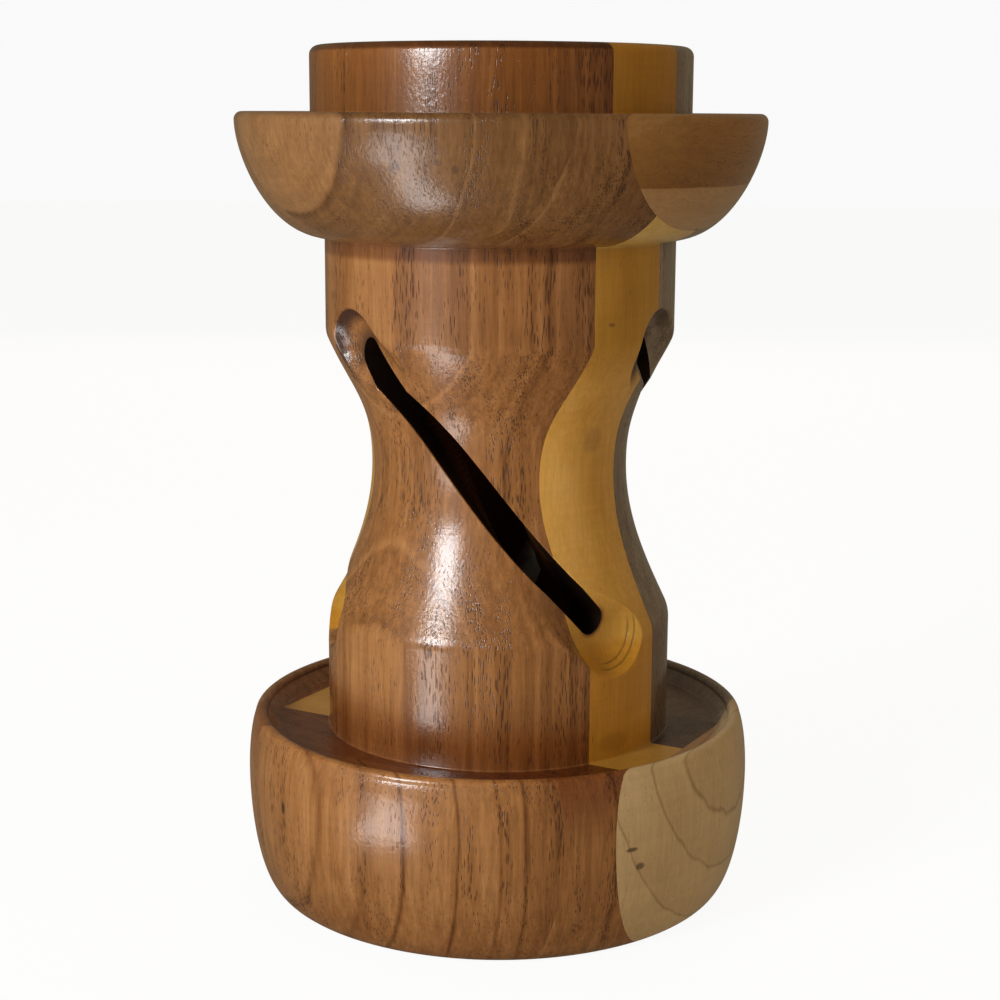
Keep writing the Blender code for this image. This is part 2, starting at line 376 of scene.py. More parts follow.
def slot_cutter(name, layers, low_z, top_z, turn):
    """A round-ended cutter along the slot's line, one ring of points for each layer.

    A layer is a function that takes the column's radius at a point and how far towards the low
    end it lies, and returns the layer's radius and half width there."""
    steps = slot_steps(low_z, top_z)
    builder = bmesh.new()
    rings = []
    for layer in layers:
        sides = []
        for side in (-1, 1):
            row = []
            for z, along, across in steps:
                surface = column_radius(z)
                for _ in range(SURFACE_PASSES):
                    radius, half = layer(surface, max(0.0, -along))
                    point = slot_point(radius, z, along * half, side * across * half, turn)
                    surface = column_radius(point.z)
                row.append(builder.verts.new(point))
            sides.append(row)
        rings.append(sides)
    stretches = range(len(steps) - 1)
    for left, right in (rings[0], rings[-1]):
        for i in stretches:
            builder.faces.new((left[i], left[i + 1], right[i + 1], right[i]))
    for inner, outer in zip(rings, rings[1:]):
        for low_row, high_row in zip(inner, outer):
            for i in stretches:
                builder.faces.new((low_row[i], low_row[i + 1], high_row[i + 1], high_row[i]))
    bmesh.ops.dissolve_degenerate(builder, dist=SAME_POINT, edges=builder.edges)
    return new_object(name, builder)


def through_layers():
    """The straight-sided cut through the wall, its mouth eased by sanding."""
    layers = [lambda surface, low: (SLOT_INNER_R, SLOT_HALF_WIDTH)]
    for offset, flare in MOUTH:
        layers.append(lambda surface, low, o=offset, f=flare: (surface + o, SLOT_HALF_WIDTH + f))
    return layers


def ball_half_width(radius):
    """Half width of the round-nosed scoop where it crosses this radius."""
    return math.sqrt(max(BALL_R ** 2 - (BALL_CENTRE_R - radius) ** 2, TINY))


def scoop_layers(ledge):
    """The round-nosed scoop; the ledge is the step that the tool leaves at its low end."""
    floor = BALL_CENTRE_R - BALL_R
    shares = [SCOOP_FIRST_SHARE] + [(i / SCOOP_LAYERS) ** 2 for i in range(1, SCOOP_LAYERS + 1)]

    def inside(share):
        def layer(surface, low):
            radius = floor + share * max(surface + SCOOP_MOUTH[0][0] - UNDER_MOUTH - floor, THINNEST_SCOOP)
            return radius, ball_half_width(radius)
        return layer

    def mouth(offset, flare):
        def layer(surface, low):
            radius = max(surface, floor + THINNEST_MOUTH) + offset
            return radius, ball_half_width(radius) + flare + ledge * low ** 2
        return layer
    return [inside(share) for share in shares] + [mouth(*step) for step in SCOOP_MOUTH]


def cut_slots(form):
    """Cut the three slots and the scoops at their ends out of the turned form."""
    cutters = []
    for i in range(SLOTS):
        turn = i * 2 * math.pi / SLOTS
        cutters += [
            slot_cutter(f"slot_cutter_{i}", through_layers(), SLOT_LOW_Z, SLOT_TOP_Z, turn),
            slot_cutter(f"low_scoop_cutter_{i}", scoop_layers(SCOOP_LEDGE), *RECESS_LOW_Z, turn),
            slot_cutter(f"top_scoop_cutter_{i}", scoop_layers(0.0), *RECESS_TOP_Z, turn),
        ]
    for cutter in cutters:
        boolean(form, "DIFFERENCE", cutter)
    bake(form)
    for cutter in cutters:
        bpy.data.objects.remove(cutter)


# ---------------------------------------------------------------- node shorthand
class Wood:
    """One wood material's node tree, with a short call for each kind of node."""

    def __init__(self, name, lying):
        self.material = bpy.data.materials.new(name)
        self.material.use_nodes = True
        self.tree = self.material.node_tree
        self.shader = self.tree.nodes["Principled BSDF"]
        self.lying = lying
        self.place = self.add("ShaderNodeTexCoord").outputs["Object"]
        self.x, self.y, self.z = self.add("ShaderNodeSeparateXYZ", {0: self.place}).outputs
        self.radius = self.vector("LENGTH", self.join(self.x, self.y, 0.0))

    def feed(self, node, values):
        """Put numbers, colours or sockets on a node's inputs, by index or name."""
        for key, value in values.items():
            if isinstance(value, bpy.types.NodeSocket):
                self.tree.links.new(value, node.inputs[key])
            else:
                node.inputs[key].default_value = value

    def add(self, kind, values=(), **settings):
        """Add a node with these settings and these values on its inputs."""
        node = self.tree.nodes.new(kind)
        for key, value in settings.items():
            setattr(node, key, value)
        self.feed(node, dict(values))
        return node

    def math(self, operation, *values):
        return self.add("ShaderNodeMath", enumerate(values), operation=operation).outputs[0]

    def vector(self, operation, *values):
        node = self.add("ShaderNodeVectorMath", enumerate(values), operation=operation)
        return node.outputs["Value" if operation in ("DOT_PRODUCT", "LENGTH") else "Vector"]

    def join(self, x, y, z):
        return self.add("ShaderNodeCombineXYZ", {0: x, 1: y, 2: z}).outputs[0]

    def noise(self, where, detail=2.0, roughness=0.5):
        """Cloud noise that varies once in about a metre of the place it is given."""
        values = {"Vector": where, "Scale": 1.0, "Detail": detail, "Roughness": roughness}
        return self.add("ShaderNodeTexNoise", values).outputs[0]

    def stretched(self, where, across, along):
        """The place scaled for a pattern that is drawn out along the board's grain."""
        scale = (across, along, across) if self.lying else (across, across, along)
        return self.vector("MULTIPLY", where, scale)

    def drift(self, where, pitch, reach, detail=2.0):
        """A wavering shift, of up to half the reach each way on each axis."""
        noise = self.add("ShaderNodeTexNoise",
                         {"Vector": self.stretched(where, *pitch), "Scale": 1.0, "Detail": detail})
        centred = self.vector("SUBTRACT", noise.outputs["Color"], (0.5, 0.5, 0.5))
        return self.vector("MULTIPLY", centred, reach)

    def vary(self, base, noise, strength):
        """The base, raised and lowered by the noise around its middle."""
        return self.math("MULTIPLY_ADD", self.math("SUBTRACT", noise, 0.5), strength, base)

    def span(self, value, low, high, first=0.0, last=1.0, smooth=True):
        """Take the value from the span low to high to the span first to last."""
        values = {"Value": value, "From Min": low, "From Max": high, "To Min": first, "To Max": last}
        shape = "SMOOTHSTEP" if smooth else "LINEAR"
        return self.add("ShaderNodeMapRange", values, interpolation_type=shape).outputs[0]

    def band(self, value, rise, fall):
        """1 between the rise and the fall, each a pair (from, to), and 0 on either side of them."""
        return self.math("MULTIPLY", self.span(value, *rise), self.span(value, *fall, 1.0, 0.0))

    def ramp(self, value, stops):
        """A colour ramp; stops are (position, colour or grey level)."""
        node = self.add("ShaderNodeValToRGB", {0: value})
        elements = node.color_ramp.elements
        while len(elements) < len(stops):
            elements.new(0.5)
        for element, (position, colour) in zip(elements, stops):
            element.position = position
            element.color = (colour,) * 3 + (1.0,) if isinstance(colour, float) else (*colour, 1.0)
        return node.outputs[0]

    def mix(self, amount, first, second, blend="MIX"):
        """Blend two colours, the second in by this amount."""
        first, second = ((*c, 1.0) if isinstance(c, tuple) else c for c in (first, second))
        values = {0: amount, 6: first, 7: second}
        return self.add("ShaderNodeMix", values, data_type="RGBA", blend_type=blend).outputs[2]

    def scaled(self, colour, factor):
        """The colour with all its channels scaled by a number."""
        return self.add("ShaderNodeVectorMath", {0: colour, "Scale": factor}, operation="SCALE").outputs[0]


# ---------------------------------------------------------------- woods
# A wood: its colours from dark to light and its pores' colour; a pore's cell (width and length in
# metres), its size as a share of the cell and how much it shows; how strongly fibres, clouds, streaks
# and rings vary the tone; its roughness; and the tint that it takes on the tray's floor, dust with
# painted shade, on maple paler and cooler as a painted reflection.
WALNUT = dict(
    dark=(0.100, 0.032, 0.0060), middle=(0.250, 0.104, 0.030), light=(0.370, 0.178, 0.064),
    pore=(0.050, 0.016, 0.004), pore_cell=(0.00046, 0.0046), pore_size=0.27, pore_mix=0.78,
    fibre=0.42, figure=0.34, streak=1.0, roughness=0.42, rings=0.30, tray=(0.62, 0.42, 0.27))
REAR_WALNUT = dict(
    WALNUT, dark=(0.055, 0.034, 0.021), middle=(0.165, 0.120, 0.082), light=(0.270, 0.210, 0.152),
    pore=(0.030, 0.018, 0.011), tray=(0.48, 0.36, 0.27))
MAPLE = dict(
    WALNUT, dark=(0.240, 0.105, 0.007), middle=(0.410, 0.205, 0.026), light=(0.530, 0.300, 0.065),
    pore=(0.20, 0.085, 0.015), pore_cell=(0.0016, 0.0080), pore_size=0.10, pore_mix=0.6,
    fibre=0.17, figure=0.75, streak=0.35, rings=0.15, tray=(1.05, 1.18, 2.0))
ASH = dict(
    WALNUT, dark=(0.200, 0.115, 0.042), middle=(0.430, 0.290, 0.138), light=(0.540, 0.385, 0.200),
    pore=(0.18, 0.105, 0.042), pore_cell=(0.0007, 0.0026), pore_size=0.16, pore_mix=0.5,
    fibre=0.17, figure=0.50, streak=0.30, roughness=0.45, rings=0.14)
TWO_TONE = dict(
    WALNUT, dark=(0.120, 0.042, 0.004), middle=(0.225, 0.100, 0.022), light=(0.345, 0.205, 0.092),
    fibre=0.22, figure=0.20, streak=0.35, rings=0.10, pore_mix=0.3)
BOWL_WALNUT = dict(
    WALNUT, dark=(0.058, 0.019, 0.0035), middle=(0.150, 0.067, 0.020), light=(0.245, 0.120, 0.044),
    streak=0.55, rings=0.42, pore_mix=0.65)

# Stains, the scorch that the tool's heat left, and the colours of the painted shade in the slots, the bore
# and the upper scoops
DARK_SPOT = (0.030, 0.016, 0.009)
BROWN_SPOT = (0.150, 0.060, 0.020)
PALE_SPOT = (0.520, 0.420, 0.300)
PAINTED_SHADE_DARK = (0.009, 0.004, 0.0022)
PAINTED_SHADE_WARM = (0.090, 0.028, 0.009)
PAINTED_SCOOP_SHADE = (0.040, 0.015, 0.008)
SCORCH = (0.110, 0.032, 0.006)

# A board's recipe: its wood; the direction that its growth rings face (azimuth and elevation in
# degrees); its bands, tones from 0 (dark) to 1 (light) at distances in mm along that direction; its
# spots (centre and half sizes in mm, strength, colour); and its tints (from z, to z, blur in mm, and
# the colour that it multiplies there).
BOARDS = {
    "front_board": dict(
        WALNUT, facing=(-15, 0), seed=3.1,
        bands=((-10, 0.25), (14, 0.32), (22, 0.46), (24, 0.28), (26, 0.48), (35, 0.42), (37.2, 0.40),
               (37.7, 0.78), (38.2, 0.36), (43, 0.50), (46, 0.34), (46.4, 0.62), (50, 0.62), (70, 0.6)),
        spots=(((26.2, -39.2, 157.8), (2.4, 2.4, 2.2), 0.35, BROWN_SPOT),
               ((-1.5, -46.4, 153.0), (2.6, 2.6, 2.6), 0.40, BROWN_SPOT),
               ((30.0, -26.0, 90.0), (6.0, 6.0, 9.0), 0.40, BROWN_SPOT)),
        # painted shade: the darker, redder band from 40 to 58 mm over the tray, and the dark band from
        # 176.5 to 180.5 mm just under the bowl
        tints=((213.0, 240.0, 0.4, (0.69, 0.54, 0.32)), (228.3, 240.0, 0.4, (0.45, 0.38, 0.30)),
               (154.7, 176.0, 5.0, (0.88, 0.86, 0.86)), (40.0, 58.0, 9.0, (0.68, 0.50, 0.36)),
               (181.0, 212.8, 0.4, (0.64, 0.68, 0.72)), (176.5, 180.5, 1.0, (0.55, 0.45, 0.40)))),
    "base_front_board": dict(
        WALNUT, facing=(-35, 0), seed=7.7,
        bands=((10, 0.30), (18.0, 0.34), (21.8, 0.52), (23.3, 0.16), (24, 0.62), (28.8, 0.58), (29.5, 0.22),
               (30.2, 0.62), (38.4, 0.56), (39.1, 0.12), (39.8, 0.62), (49.6, 0.62), (50.3, 0.10),
               (51, 0.66), (55.5, 0.50), (57.0, 0.24), (58.2, 0.60), (63.8, 0.56), (64.4, 0.30),
               (65.2, 0.58), (70, 0.52)),
        spots=(((-29.3, -63.4, 32.9), (0.8, 3.0, 1.9), 0.95, DARK_SPOT),),
        tints=((49.0, 60.0, 0.5, (1.15, 1.10, 1.05)), (-5.0, 12.0, 6.0, (0.90, 0.84, 0.78)))),
    "base_left_board": dict(
        WALNUT, facing=(-50, 0), seed=9.3, bands=((30, 0.4), (50, 0.45), (70, 0.5))),
    "bowl_front_board": dict(
        BOWL_WALNUT, facing=(-31, 0), seed=5.2,
        bands=((-10, 0.0), (7.0, 0.02), (8.6, 0.30), (14, 0.26), (28.8, 0.38), (29.8, 0.56), (33, 0.42),
               (39.8, 0.34), (40.3, 0.72), (40.9, 0.24), (43, 0.50), (49, 0.34), (51, 0.54), (58, 0.34),
               (60.4, 0.46), (61.6, 0.16), (62.4, 0.80), (71, 0.84)),
        spots=(((9.4, -67.9, 200.8), (1.3, 3.0, 1.5), 0.50, DARK_SPOT),
               ((19.7, -65.9, 201.5), (1.1, 3.0, 0.9), 0.45, DARK_SPOT),
               ((23.5, -64.0, 199.9), (0.9, 3.0, 1.3), 0.45, DARK_SPOT),
               ((46.2, -41.4, 188.7), (1.9, 2.0, 0.35), 0.85, PALE_SPOT),
               ((45.2, -42.4, 187.6), (0.35, 2.0, 1.4), 0.80, PALE_SPOT))),
    "bowl_left_board": dict(
        BOWL_WALNUT, facing=(-60, 0), seed=1.4, bands=((30, 0.6), (60, 0.75), (72, 0.8))),
    "light_board": dict(
        MAPLE, facing=(60, 0), seed=2.2, bands=((-70, 0.5), (20, 0.45), (38, 0.55), (60, 0.5)),
        spots=(((43.1, -19.2, 160.6), (0.7, 1.5, 0.6), 0.7, BROWN_SPOT),
               ((34.0, -11.2, 129.2), (3.0, 4.0, 4.0), 0.30, BROWN_SPOT),
               ((45.0, -17.0, 50.0), (6.0, 6.0, 3.0), 0.30, BROWN_SPOT)),
        # painted shade: the darker, redder band from 44.5 to 76 mm over the tray
        tints=((213.0, 240.0, 0.4, (0.78, 0.66, 0.22)), (155.0, 180.5, 3.0, (0.86, 0.82, 0.60)),
               (84.0, 148.0, 6.0, (1.24, 1.28, 1.75)), (44.5, 76.0, 2.0, (0.95, 0.82, 0.46)),
               (179.9, 205.0, 0.5, (1.15, 1.45, 3.0)))),
    "inner_back_board": dict(
        REAR_WALNUT, facing=(120, 0), seed=4.4, bands=((-60, 0.4), (0, 0.5), (60, 0.5)),
        # painted shade: the darker band from 40 to 78 mm over the tray
        tints=((40.0, 78.0, 4.0, (0.60, 0.46, 0.36)),)),
    "back_board": dict(REAR_WALNUT, facing=(150, 0), seed=6.1, bands=((-20, 0.4), (30, 0.5), (60, 0.6))),
    "base_back_board": dict(REAR_WALNUT, facing=(160, 0), seed=8.5, bands=((0, 0.4), (50, 0.5), (70, 0.6))),
    "bowl_back_board": dict(REAR_WALNUT, facing=(150, 0), seed=8.8, bands=((0, 0.4), (50, 0.5), (70, 0.6))),
    "base_right_board": dict(
        ASH, facing=(95, 15), seed=3.9,
        bands=((55, 0.56), (61.3, 0.66), (61.7, 0.22), (62.0, 0.50), (69.2, 0.68), (69.6, 0.18),
               (69.9, 0.54), (74.6, 0.72), (75.0, 0.18), (75.3, 0.55), (85, 0.70)),
        spots=(((59.6, -36.4, 29.6), (2.0, 2.0, 0.7), 0.75, DARK_SPOT),
               ((60.8, -33.9, 24.6), (1.3, 1.6, 1.1), 0.70, DARK_SPOT))),
    "bowl_right_board": dict(
        TWO_TONE, facing=(90, 88), seed=6.6, lying=True,
        bands=((178, 0.95), (196.0, 0.86), (197.1, 0.80), (197.4, 0.26), (199, 0.30), (206, 0.40),
               (215, 0.55)),
        spots=(((57.2, -0.2, 183.9), (0.7, 1.5, 0.6), 0.8, DARK_SPOT),)),
}

# How fast each pattern varies, in cycles for each metre across the grain and along it
WANDER_PITCH = (22.0, 9.0)
SHIVER_PITCH = (160.0, 30.0)
FIGURE_PITCH = (70.0, 30.0)
STREAK_PITCH = (420.0, 8.0)
FIBRE_PITCH = (1130.0, 75.0)
CROWDING_PITCH = (160.0, 22.0)
# The same for those that follow no grain, on X, Y and Z, and for the rings along the way they face
LATHE_PITCH = (21.0, 21.0, 640.0)
FILM_PITCH = (1100.0, 1100.0, 800.0)
RING_PITCH = 520.0
# How far the grain wanders and shivers, on X, Y and Z, in metres
WANDER_REACH = (0.0040, 0.0040, 0.0020)
SHIVER_REACH = (0.0014, 0.0014, 0.0004)

FIBRE_CONTRAST = 3.0                   # times the recipe's own fibre strength
LATHE_CONTRAST = 0.26
PORE_EDGE = (0.70, 1.20)               # shares of a pore's size between which it fades
PORE_CROWDING = (0.34, 0.68)           # noise levels between which pores grow from least to most
PORE_SIZES = (0.30, 1.35)              # least and most, times the recipe's own size
PORE_TONES = (0.15, 0.75, 1.35, 0.75)  # between these two tones the size falls by these factors
SPOT_EDGE = (0.55, 1.15)               # shares of a spot's half size between which it fades

# Dust and painted shade on the tray's floor: where they start and end, in height and radius
TRAY_DUST_AND_SHADE_Z = ((0.0448, 0.0452), (0.0456, 0.0470))
TRAY_DUST_AND_SHADE_R = ((0.0476, 0.0480), (0.0600, 0.0640))

# The scorch, and the painted shade on the slot walls, in the bore and in the upper scoops: how far each
# reaches, in metres from a slot's edge, from the bore's wall or from the end centre of a slot or an upper
# scoop; two more numbers are its strengths at either end of the reach
WALL_SHADE_REACH = (0.00002, 0.00016)
BORE_SHADE_REACH = (0.001, 0.003)
BORE_SHADE_TOP_Z = 0.19
WARM_SHADE_R = (0.0240, 0.0300)
SCORCH_WIDTH = 0.0014
SCORCH_BELOW = (0.0005, 0.0055, 0.0, 0.92)
SCORCH_WAVER = 0.006
RIM_RISE = (0.0068, 0.0098)
RIM_FALL = (0.0107, 0.0110)
RIM_ABOVE = (-0.0060, 0.0040, 0.0, 0.96)
SCOOP_SHADE_EDGE = 0.0085
SCOOP_SHADE_STRENGTH = 0.80
SCOOP_SHADE_ABOVE = (-0.0030, 0.0015)

# The arcs that the round-nosed tool left in the lower scoop: their radii, their edges and where
# they start below the scoop's centre
TOOL_ARCS = (0.0088, 0.0101)
ARC_EDGE = (0.00008, 0.00030)
ARC_BELOW = (0.0035, 0.0065)
ARC_SHADE = -0.40

# Varnish
FIBRE_ROUGHNESS = 0.18
PORE_ROUGHNESS = 0.25
FIBRE_RELIEF = 0.55
FILM_RELIEF = 1.3
LATHE_RELIEF = 0.45
ARC_RELIEF = -1.6
RELIEF_STRENGTH = 0.60
RELIEF_HEIGHT = 0.00007
WOOD_SHINE = 0.18
COAT_WEIGHT = 0.85
COAT_ROUGHNESS = 0.18
COAT_IOR = 1.5


def direction(azimuth, elevation):
    """The unit vector that points to this azimuth and elevation, in degrees."""
    a, e = math.radians(azimuth), math.radians(elevation)
    return Vector((math.sin(a) * math.cos(e), -math.cos(a) * math.cos(e), math.sin(e)))


def grown_colour(wood, recipe, placed, grain):
    """Growth bands, clouds and soft streaks along the grain: the colour, its tone and the clouds."""
    bands = recipe["bands"]
    low, high = bands[0][0] * MM, bands[-1][0] * MM
    distance = wood.vector("DOT_PRODUCT", placed, tuple(direction(*recipe["facing"])))
    share = wood.span(distance, low, high, smooth=False)
    tone = wood.ramp(share, [((d * MM - low) / (high - low), float(t)) for d, t in bands])
    rings = wood.add("ShaderNodeTexNoise",
                     {"W": distance, "Scale": RING_PITCH, "Detail": 4.0, "Roughness": 0.62},
                     noise_dimensions="1D").outputs[0]
    figure = wood.noise(wood.stretched(grain, *FIGURE_PITCH), detail=5.0, roughness=0.62)
    streak = wood.noise(wood.stretched(grain, *STREAK_PITCH), detail=4.0, roughness=0.68)
    for part, key in ((rings, "rings"), (figure, "figure"), (streak, "streak")):
        tone = wood.vary(tone, part, recipe[key])
    colour = wood.ramp(tone, [(0.0, recipe["dark"]), (0.5, recipe["middle"]), (1.0, recipe["light"])])
    return colour, tone, figure


def pores(wood, recipe, grain, tone):
    """Pores, opened along the grain; darker wood has more of them."""
    width, length = recipe["pore_cell"]
    least, most = (share * recipe["pore_size"] for share in PORE_SIZES)
    cells = {"Vector": wood.stretched(grain, 1 / width, 1 / length), "Scale": 1.0}
    nearest = wood.add("ShaderNodeTexVoronoi", cells, voronoi_dimensions="3D", feature="F1")
    crowding = wood.noise(wood.stretched(grain, *CROWDING_PITCH), detail=3.0)
    size = wood.span(crowding, *PORE_CROWDING, least, most)
    size = wood.math("MULTIPLY", size, wood.span(tone, *PORE_TONES))
    return wood.span(wood.math("DIVIDE", nearest.outputs["Distance"], size), *PORE_EDGE, 1.0, 0.0)


def stained_and_shaded(wood, recipe, colour):
    """Knots, checks and stains; the heights where the board is darker or paler, where the bands under the
    bowl and above the tray are painted shade; and the tray floor's dust with painted shade.
    """
    for centre, sizes, strength, stain in recipe.get("spots", ()):
        offset = wood.vector("SUBTRACT", wood.place, tuple(c * MM for c in centre))
        offset = wood.vector("MULTIPLY", offset, tuple(1.0 / (r * MM) for r in sizes))
        inside = wood.span(wood.vector("LENGTH", offset), *SPOT_EDGE, strength, 0.0)
        colour = wood.mix(inside, colour, stain)
    for low_z, high_z, blur, tint in recipe.get("tints", ()):
        rise, fall = (((level - blur) * MM, (level + blur) * MM) for level in (low_z, high_z))
        colour = wood.mix(wood.band(wood.z, rise, fall), colour, tint, "MULTIPLY")
    # The tray's floor: dust with painted shade; on maple, paler and cooler as a painted reflection
    film = wood.math("MULTIPLY", wood.band(wood.z, *TRAY_DUST_AND_SHADE_Z), wood.band(wood.radius, *TRAY_DUST_AND_SHADE_R))
    return wood.mix(film, colour, recipe["tray"], "MULTIPLY")


def slot_distance(wood, low_z, top_z):
    """How far a point is from the nearest slot's middle line, and how far below and above its ends.

    It is measured along and across the line, as the slots are cut."""
    azimuth = wood.math("ARCTAN2", wood.x, wood.math("MULTIPLY", wood.y, -1.0))
    turned = wood.math("SUBTRACT", wood.math("MULTIPLY_ADD", wood.z, SLOT_LEAD, azimuth), SLOT_AZIMUTH)
    turned = wood.math("WRAP", turned, math.pi / SLOTS, -math.pi / SLOTS)
    slope = wood.math("MULTIPLY", wood.radius, SLOT_LEAD)
    length = wood.vector("LENGTH", wood.join(1.0, slope, 0.0))
    across = wood.math("DIVIDE", wood.math("MULTIPLY", turned, wood.radius), length)
    lean = wood.math("MULTIPLY", slope, across)
    below = wood.math("MULTIPLY_ADD", wood.math("SUBTRACT", low_z, wood.z), length, lean)
    above = wood.math("MULTIPLY", wood.math("SUBTRACT", wood.z, top_z), length)
    above = wood.math("SUBTRACT", above, lean)
    beyond = wood.math("MAXIMUM", wood.math("MAXIMUM", below, above), 0.0)
    return wood.vector("LENGTH", wood.join(across, beyond, 0.0)), below, above


def scorch_and_painted_shade(wood, colour, figure):
    """The scorch where the tool stopped, the painted shade in the upper scoops, and the slot walls and the
    bore painted near black as shade: the colour and the mask of the walls' painted shade.
    """
    beside, below, above = slot_distance(wood, SLOT_LOW_Z, SLOT_TOP_Z)
    circle, _, beyond = slot_distance(wood, *RECESS_TOP_Z)
    edge = SLOT_HALF_WIDTH

    scorch = wood.math("MULTIPLY", wood.span(beside, edge, edge + SCORCH_WIDTH, 1.0, 0.0),
                       wood.span(wood.math("MULTIPLY_ADD", figure, SCORCH_WAVER, below), *SCORCH_BELOW))
    colour = wood.mix(scorch, colour, SCORCH)

    # Painted shade: a dark rim round the top of each upper scoop, and a dark patch inside it above the
    # slot's end
    rim = wood.math("MULTIPLY", wood.band(circle, RIM_RISE, RIM_FALL), wood.span(beyond, *RIM_ABOVE))
    in_scoop = wood.math("LESS_THAN", circle, RIM_FALL[0])
    scoop_shade = wood.math("MULTIPLY", wood.span(above, *SCOOP_SHADE_ABOVE), in_scoop)
    scoop_shade = wood.math("MULTIPLY", wood.span(beside, edge, SCOOP_SHADE_EDGE, SCOOP_SHADE_STRENGTH, 0.0), scoop_shade)
    colour = wood.mix(wood.math("MAXIMUM", rim, scoop_shade), colour, PAINTED_SCOOP_SHADE)

    # Painted shade: the slot walls and the bore are painted near black, warmer deep in the bore
    wall = wood.span(beside, *(edge + out for out in WALL_SHADE_REACH), 1.0, 0.0)
    bore = wood.math("MULTIPLY", wood.span(wood.radius, *(BORE_R + out for out in BORE_SHADE_REACH), 1.0, 0.0),
                     wood.math("LESS_THAN", wood.z, BORE_SHADE_TOP_Z))
    inner_shade = wood.math("MAXIMUM", wall, bore)
    shade_colour = wood.mix(wood.span(wood.radius, *WARM_SHADE_R, 1.0, 0.0), PAINTED_SHADE_DARK, PAINTED_SHADE_WARM)
    return wood.mix(inner_shade, colour, shade_colour), inner_shade


def tool_arcs(wood):
    """The arcs that the round-nosed tool left in the lower scoop."""
    circle, below, _ = slot_distance(wood, *RECESS_LOW_Z)
    lines = [wood.span(wood.math("ABSOLUTE", wood.math("SUBTRACT", circle, radius)), *ARC_EDGE, 1.0, 0.0)
             for radius in TOOL_ARCS]
    return wood.math("MULTIPLY", wood.math("MAXIMUM", *lines), wood.span(below, *ARC_BELOW))


def varnished_wood(name, recipe):
    """A board's wood: banded growth, fibres and pores along the grain, under a satin varnish."""
    wood = Wood(name, recipe.get("lying", False))
    seed = recipe["seed"]

    # The grain wanders a little on its way up the board
    shifted = wood.vector("ADD", wood.place, (seed, seed * 0.7, seed * 1.3))
    wander = wood.drift(shifted, WANDER_PITCH, WANDER_REACH)
    shiver = wood.drift(shifted, SHIVER_PITCH, SHIVER_REACH, detail=3.0)
    grain, placed = (wood.vector("ADD", wood.vector("ADD", where, wander), shiver)
                     for where in (shifted, wood.place))
    colour, tone, figure = grown_colour(wood, recipe, placed, grain)

    # Fine fibres, and the faint rings that the lathe leaves
    fibre = wood.noise(wood.stretched(grain, *FIBRE_PITCH), detail=5.0, roughness=0.72)
    cut = wood.vector("ADD", shifted, wood.vector("MULTIPLY", shiver, (0.0, 0.0, 1.0)))
    lathe = wood.noise(wood.vector("MULTIPLY", cut, LATHE_PITCH), detail=5.0, roughness=0.75)
    fine = wood.vary(1.0, fibre, recipe["fibre"] * FIBRE_CONTRAST)
    colour = wood.scaled(colour, wood.vary(fine, lathe, LATHE_CONTRAST))

    pore = pores(wood, recipe, grain, tone)
    colour = wood.mix(wood.math("MULTIPLY", pore, recipe["pore_mix"]), colour, recipe["pore"])
    colour = stained_and_shaded(wood, recipe, colour)
    # the scorch, and the painted shade in the slots, the bore and the upper scoops
    colour, inner_shade = scorch_and_painted_shade(wood, colour, figure)
    arcs = tool_arcs(wood)
    colour = wood.scaled(colour, wood.math("MULTIPLY_ADD", arcs, ARC_SHADE, 1.0))

    # Satin varnish: the pores, the fibres and the brushed film show in the gloss
    film = wood.noise(wood.vector("MULTIPLY", shifted, FILM_PITCH))
    rough = wood.vary(recipe["roughness"], fibre, FIBRE_ROUGHNESS)
    height = wood.math("MULTIPLY", pore, -recipe["pore_mix"])
    for part, relief in ((fibre, FIBRE_RELIEF), (film, FILM_RELIEF), (lathe, LATHE_RELIEF),
                         (arcs, ARC_RELIEF)):
        height = wood.math("MULTIPLY_ADD", part, relief, height)
    bump = wood.add("ShaderNodeBump",
                    {"Strength": RELIEF_STRENGTH, "Distance": RELIEF_HEIGHT, "Height": height})
    wood.feed(wood.shader, {
        "Base Color": colour,
        "Roughness": wood.math("MULTIPLY_ADD", pore, PORE_ROUGHNESS, rough),
        "Specular IOR Level": WOOD_SHINE,
        "Normal": bump.outputs[0],
        "Coat Weight": wood.span(inner_shade, 0.0, 1.0, COAT_WEIGHT, 0.0),
        "Coat Roughness": COAT_ROUGHNESS,
        "Coat IOR": COAT_IOR,
        "Coat Normal": bump.outputs[0],
    })
    return wood.material


# ---------------------------------------------------------------- the boards
def sharpen(mesh, spans):
    """Smooth shading on the turned faces; the flat sawn faces and the tight corners stay crisp."""
    mesh.shade_smooth()
    mesh.set_sharp_from_angle(angle=SHARP_ANGLE)
    planes = [(axis, value) for axis, span in enumerate(spans) for value in span]
    sawn = set()
    for face in mesh.polygons:
        for axis, value in planes:
            if abs(face.normal[axis]) > FLAT_COSINE and abs(face.center[axis] - value) < ON_PLANE:
                face.use_smooth = False
                sawn.update(face.edge_keys)
    sharp = mesh.attributes.get("sharp_edge") or mesh.attributes.new("sharp_edge", "BOOLEAN", "EDGE")
    for edge in mesh.edges:
        if edge.key in sawn:
            sharp.data[edge.index].value = True


